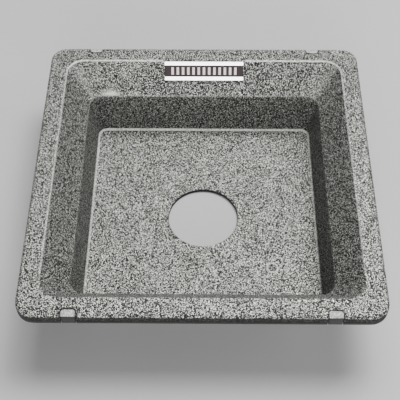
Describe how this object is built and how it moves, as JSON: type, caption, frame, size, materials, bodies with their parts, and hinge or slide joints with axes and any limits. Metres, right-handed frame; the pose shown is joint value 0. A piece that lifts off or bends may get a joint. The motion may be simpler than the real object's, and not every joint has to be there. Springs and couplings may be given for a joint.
{
  "type": "recessed lens board",
  "caption": "Square recessed lens board for a large-format view camera: flat rim, stepped sloping well, round shutter hole in its floor.",
  "frame": {"origin": "middle of the square, on the underside of the well's floor", "axes": "+Z out of the well's mouth (towards the subject in use), +Y towards the side that carries the name plate, +X along the rim"},
  "size_m": [0.158, 0.158, 0.0408],
  "materials": {
    "crinkle_paint": "black wrinkle paint, semi-matt, with a fine salt-and-pepper glint",
    "frame_paint": "matt black paint",
    "key_metal": "thin smooth black paint, worn and slightly shiny",
    "plate_metal": null,
    "bond_film": "thin translucent adhesive film"
  },
  "bodies": {
    "root": {"board_shell": "crinkle_paint", "light_trap_frame": "frame_paint", "edge_key_far_left": "key_metal", "edge_key_far_right": "key_metal", "edge_key_near_left": "key_metal", "edge_key_near_right": "key_metal", "name_plate_film": "bond_film", "name_plate": "plate_metal"}
  },
  "joints": []
}
